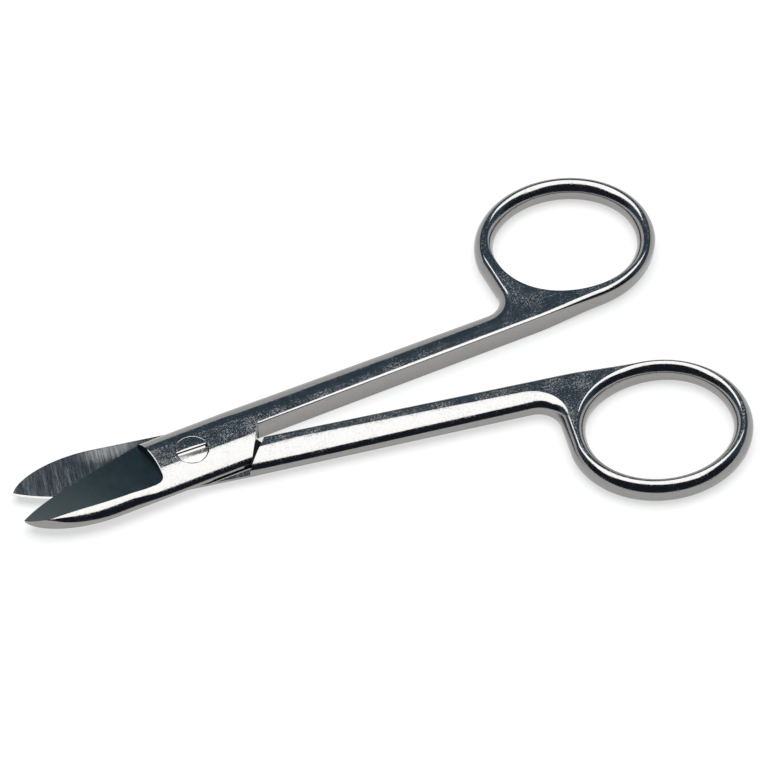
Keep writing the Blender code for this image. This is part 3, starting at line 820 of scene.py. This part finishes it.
# %% Polished steel
WHEEL_SCALE, WAVE_SCALE, CLOUD_SCALE, GRAIN_SCALE = (140.0, 2400.0, 2400.0), 260.0, 330.0, 3000.0
WORN_TINT, POLISH_DEPTH = (0.91, 0.92, 0.93), 0.00002
FORGING_COLOUR, SCREW_COLOUR = (0.290, 0.284, 0.275), (0.30, 0.295, 0.285)


def polish(material, turn, colour, roughness):
    """Mottle is fine grain, stronger inside rubbed clouds. It is rougher and a little darker, and the
    wheel's lines are rougher too."""
    finish = Finish(material)
    wheel = finish.noise(finish.mapped(WHEEL_SCALE, turn), 1.0, 4.0, 0.6)
    wave = finish.noise(finish.place, WAVE_SCALE, 2.0)
    cloud = finish.noise(finish.place, CLOUD_SCALE, 4.0, 0.65)
    grain = finish.noise(finish.place, GRAIN_SCALE, 3.0, 0.7)
    rubbed = finish.ramp(cloud, 0.36, 0.64)
    mottle = finish.ramp(grain, 0.42, 0.68) * (0.5 + rubbed * 0.5)
    line = finish.ramp(wheel, 0.60, 0.72)
    height = wave + wheel * 0.035 + grain * (0.04 + rubbed * 0.10)
    finish.shade(Base_Color=finish.blend(mottle, (*colour, 1.0), tinted(colour, WORN_TINT)), Metallic=1.0,
                 Roughness=roughness + mottle * 0.20 + rubbed * 0.03 + line * 0.06,
                 Normal=finish.bump(height, POLISH_DEPTH))


polish(finishes["polished_steel"], 0.0, FORGING_COLOUR, 0.055)
polish(finishes["screw_steel"], math.radians(SLOT_DEG), SCREW_COLOUR, 0.06)
print("polished steel done")

# %% [markdown]
# ## Ground steel
# The bevel of the blade comes off a grinding wheel and is left matt, with the wheel's lines across it.
# Its dark blue-grey colour is painted reflection of the dark screen, with painted shade towards the
# point. The inner faces are ground finer and nearly mirror, with scratches and a dull patch where the
# blades rub, and painted shade in the gap beside the other half's joint end. The bores are plain
# drilled steel. Anisotropic shading would give such lines too, but the exported model loses it, so
# they are drawn as stretched noise in the colour and the roughness.

# %% Ground steel
CLOUDY_SCALE, SCRATCH_SPACING = 420.0, 0.75
RUB_MIDDLE, RUB_SCALE = (1.97, -2.50, 0.0), (170.0, 400.0, 0.0)
NO_PAINTED_SHADE = (1.0, 0.0, 1.0)
# The bevel's dark blue-grey colour is painted reflection of the dark screen; its matt grind is real and
# lies in the roughness.
BEVEL_PAINTED_REFLECTION_COLOUR, BEVEL_LINES = (0.087, 0.122, 0.130), (5200.0, 420.0, 900.0)
INNER_COLOUR, INNER_LINES = (0.275, 0.275, 0.27), (4600.0, 220.0, 700.0)
BORE_COLOUR, BORE_LINES = (0.30, 0.30, 0.295), (300.0, 300.0, 3000.0)


def grind(material, colour, roughness, lines, turn, depth, patch=0.0, shade=NO_PAINTED_SHADE, streak=0.8,
          scratch=0.0):
    """Fine lines all one way: noise that is stretched along them and squeezed across them. A patch is
    extra roughness where the blades rub, which fades with the distance from its middle. The shade is
    painted shade: it darkens the colour by its last value between the first two places along the
    snips. Scratches are wider lines, rougher than the rest, that catch the lamp."""
    finish = Finish(material)
    fine = finish.noise(finish.mapped(lines, turn), 1.0, 4.0, 0.7)
    wide = finish.noise(finish.mapped((lines[0] * SCRATCH_SPACING, *lines[1:]), turn), 1.0, 3.0, 0.7)
    cloud = finish.noise(finish.place, CLOUDY_SCALE, 4.0, 0.65)
    rub = finish.node("ShaderNodeVectorMath", {"operation": "LENGTH"}, {
        0: finish.node("ShaderNodeMapping", {}, {"Vector": finish.place, "Location": RUB_MIDDLE,
                                                 "Scale": RUB_SCALE})}, "Value")
    rubbed = 1.0 - finish.ramp(rub + cloud * 0.5, 0.5, 1.35)
    along = finish.node("ShaderNodeSeparateXYZ", {}, {0: finish.place}, "X")
    lined = finish.blend(finish.ramp(fine, 0.38, 0.62), tinted(colour, [streak] * 3), (*colour, 1.0))
    # Painted shade: the colour darkens by the shade's last value between its first two places along the
    # snips.
    shaded = finish.blend(finish.ramp(along, shade[0], shade[1]), lined, tinted(colour, [shade[2]] * 3))
    finish.shade(Base_Color=shaded, Metallic=1.0,
                 Roughness=roughness + finish.ramp(cloud, 0.40, 0.68) * 0.015 + fine * 0.05
                 + rubbed * (patch * (0.5 + fine)) + finish.ramp(wide, 0.44, 0.68) * scratch,
                 Normal=finish.bump(fine, depth))


# Painted shade: the bevel's colour is halved from 13 to 24 mm before the pivot, darker towards the point,
# standing in for a darker reflection there.
grind(finishes["ground_bevel"], BEVEL_PAINTED_REFLECTION_COLOUR, 0.20, BEVEL_LINES, math.radians(-14), 0.000002,
      shade=(-0.013, -0.024, 0.5))
# Painted shade: the inner face's colour falls to 0.15 of itself from 7.5 to 9 mm from the pivot towards
# the rings, in the gap beside the other half's joint end.
grind(finishes["ground_inner_face"], INNER_COLOUR, 0.055, INNER_LINES, math.radians(8), 0.000003,
      patch=0.13, shade=(0.0075, 0.009, 0.15), streak=0.66, scratch=0.045)
grind(finishes["bored_steel"], BORE_COLOUR, 0.22, BORE_LINES, 0.0, 0.000008)
print("ground steel done")

# %% [markdown]
# ## The studio
# Steel has hardly a colour of its own, so the picture is made by what stands around it. A wide lamp
# hangs overhead, a dark screen stands round the table from low down up to the lamp, and the table is
# pale. White bands are the lamp, black and blue ones are the screen, and grey ones are the table. An
# image of a room would do the same, but three plain things are easier to place, and the table is seen
# from above only, so that the underside of the snips can be looked at as well.

# %% Table
TABLE_HALF, TABLE_Z = 6.0, -0.00005
PAPER, PAPER_GRAIN, PAPER_SCALE = 0.42, 1.03, 900.0
LIT = 0.63                                    # the table's own glow, to be just white under the lamp


def stage_sheet(name, vertices, faces, material):
    """A thing of the studio, which is not part of the snips."""
    mesh = bpy.data.meshes.new(name)
    mesh.from_pydata(vertices, [], faces)
    mesh.materials.append(material)
    sheet = bpy.data.objects.new(name, mesh)
    bpy.context.scene.collection.objects.link(sheet)
    return sheet


def seen_white(finish):
    """1 for rays that show the background: those of the camera, of reflections and of clear things."""
    path = finish.tree.nodes.new("ShaderNodeLightPath")
    camera = Level(finish, path.outputs["Is Camera Ray"])
    glossy = Level(finish, path.outputs["Is Glossy Ray"])
    clear = Level(finish, path.outputs["Is Transmission Ray"])
    return camera.math("MAXIMUM", camera.math("MAXIMUM", camera, glossy), clear)


table_finish = bpy.data.materials.new("table_paper")
finish = Finish(table_finish)
grain = finish.noise(finish.place, PAPER_SCALE, 3.0)
paper = (PAPER, PAPER, PAPER)
finish.shade(Base_Color=finish.blend(grain, (*paper, 1.0), tinted(paper, [PAPER_GRAIN] * 3)),
             Roughness=0.9, Specular_IOR_Level=0.0, Emission_Color=(1.0, 1.0, 1.0, 1.0))
finish.give(finish.shader.inputs["Emission Strength"], seen_white(finish) * LIT)
finish.see_through_from_below()
corners = [(x * TABLE_HALF, y * TABLE_HALF, TABLE_Z) for x, y in ((-1, -1), (1, -1), (1, 1), (-1, 1))]
stage_sheet("table", corners, [(0, 1, 2, 3)], table_finish)
print("table", 2 * TABLE_HALF, "m wide")

# %% Lamp
VIEW_DOWN_DEG, VIEW_TURN_DEG = 51.17, 20.39
LAMP_HEIGHT, LAMP_FAR_DEG, LAMP_NEAR_DEG = 1.3, 54.6, 72.5
LAMP_WIDTH, LAMP_GLOW = 1.65, 3.35
lamp_far = LAMP_HEIGHT / math.tan(math.radians(LAMP_FAR_DEG))
lamp_near = -LAMP_HEIGHT / math.tan(math.radians(LAMP_NEAR_DEG))
turn = math.radians(VIEW_TURN_DEG)
away = Vector((math.sin(turn), math.cos(turn), 0.0))
lamp = bpy.data.lights.new("overhead_lamp", "AREA")
lamp.shape, lamp.size, lamp.size_y = "RECTANGLE", LAMP_WIDTH, lamp_far - lamp_near
lamp.energy = LAMP_GLOW * math.pi * lamp.size * lamp.size_y
lamp_object = bpy.data.objects.new("overhead_lamp", lamp)
lamp_object.location = away * (lamp_far + lamp_near) / 2 + Vector((0.0, 0.0, LAMP_HEIGHT))
lamp_object.rotation_euler = (0.0, 0.0, -turn)
bpy.context.scene.collection.objects.link(lamp_object)
print("lamp", LAMP_WIDTH, "x", round(lamp.size_y, 2), "m,", round(lamp.energy, 1), "W")

# %% Screen
SCREEN_RADIUS = 2.3
SCREEN_FAR_DEG, SCREEN_NEAR_DEG, SCREEN_TOP_DEG = 25.0, 7.0, 89.0
NAVY, BLACK = (0.076, 0.128, 0.182, 1.0), (0.024, 0.030, 0.045, 1.0)
BLACK_UNTIL, NAVY_FROM = -0.4, 0.5            # metres behind and before the table's middle
SCREEN_RINGS, SCREEN_SIDES = 24, 120


def dome(rings, sides):
    """A dome round the table: radius times the cosine of the height angle outwards, and times its sine
    upwards. Its lower edge rises from the camera's side to the far side as a cosine."""
    angle = np.linspace(0.0, 2 * math.pi, sides, endpoint=False)
    farness = (1.0 + np.cos(angle - math.pi / 2 + turn)) / 2
    low = SCREEN_NEAR_DEG + (SCREEN_FAR_DEG - SCREEN_NEAR_DEG) * farness
    height = np.radians(low + np.linspace(0.0, 1.0, rings)[:, None] * (SCREEN_TOP_DEG - low))
    points = np.stack([np.cos(height) * np.cos(angle), np.cos(height) * np.sin(angle),
                       np.sin(height)], axis=-1) * SCREEN_RADIUS
    return points.reshape(-1, 3), band_faces(rings, sides, 0)


screen_finish = bpy.data.materials.new("dark_screen")
finish = Finish(screen_finish)
forward = finish.node("ShaderNodeVectorMath", {"operation": "DOT_PRODUCT"}, {
    0: finish.place, 1: away}, "Value")
shade = finish.blend(finish.ramp(forward, BLACK_UNTIL, NAVY_FROM), BLACK, NAVY)
finish.shade(Base_Color=(0.0, 0.0, 0.0, 1.0), Roughness=1.0, Specular_IOR_Level=0.0,
             Emission_Color=shade, Emission_Strength=1.0)
points, faces = dome(SCREEN_RINGS, SCREEN_SIDES)
screen = stage_sheet("screen", points.tolist(), faces.tolist(), screen_finish)
screen.visible_camera = False
print("screen", 2 * SCREEN_RADIUS, "m wide")

# %% World
WORLD_LEVEL = 0.5
world = bpy.data.worlds.new("studio")
bpy.context.scene.world = world
world.use_nodes = True


class Surroundings(Finish):
    """The same helper for the world, whose shader is its Background node."""

    def __init__(self, world):
        self.tree = world.node_tree
        self.shader = self.tree.nodes["Background"]


finish = Surroundings(world)
finish.shade(Color=(1.0, 1.0, 1.0, 1.0), Strength=WORLD_LEVEL + seen_white(finish) * (1.0 - WORLD_LEVEL))
print("world ready")

# %% [markdown]
# ## Camera
# The camera stands about 85 cm away and looks down steeply with a long lens, so the rings hardly
# shrink with distance. It could be moved by eye, but its place is worked out from its height angle,
# its turn, and where the pivot falls in the picture, so that it can be matched to a photograph.

# %% Camera
PIVOT_RIGHT, PIVOT_UP, PIVOT_AWAY = -0.03013, -0.01283, 0.8458
LENS, SENSOR, CLIP = 251.8, 36.0, (0.01, 50.0)
down = math.radians(VIEW_DOWN_DEG)
right = Vector((math.cos(turn), -math.sin(turn), 0.0))
up = Vector((math.sin(turn) * math.sin(down), math.cos(turn) * math.sin(down), math.cos(down)))
ahead = Vector((math.sin(turn) * math.cos(down), math.cos(turn) * math.cos(down), -math.sin(down)))
camera = bpy.data.cameras.new("camera")
camera.lens, camera.sensor_width = LENS, SENSOR
camera.clip_start, camera.clip_end = CLIP
camera_object = bpy.data.objects.new("camera", camera)
bpy.context.scene.collection.objects.link(camera_object)
camera_object.matrix_world = Matrix.Translation(
    -PIVOT_RIGHT * right - PIVOT_UP * up - PIVOT_AWAY * ahead) @ Matrix(
    (right, up, -ahead)).transposed().to_4x4()
bpy.context.scene.camera = camera_object
bpy.context.scene.view_settings.view_transform = "Standard"
print("camera at", [round(v, 3) for v in camera_object.location])
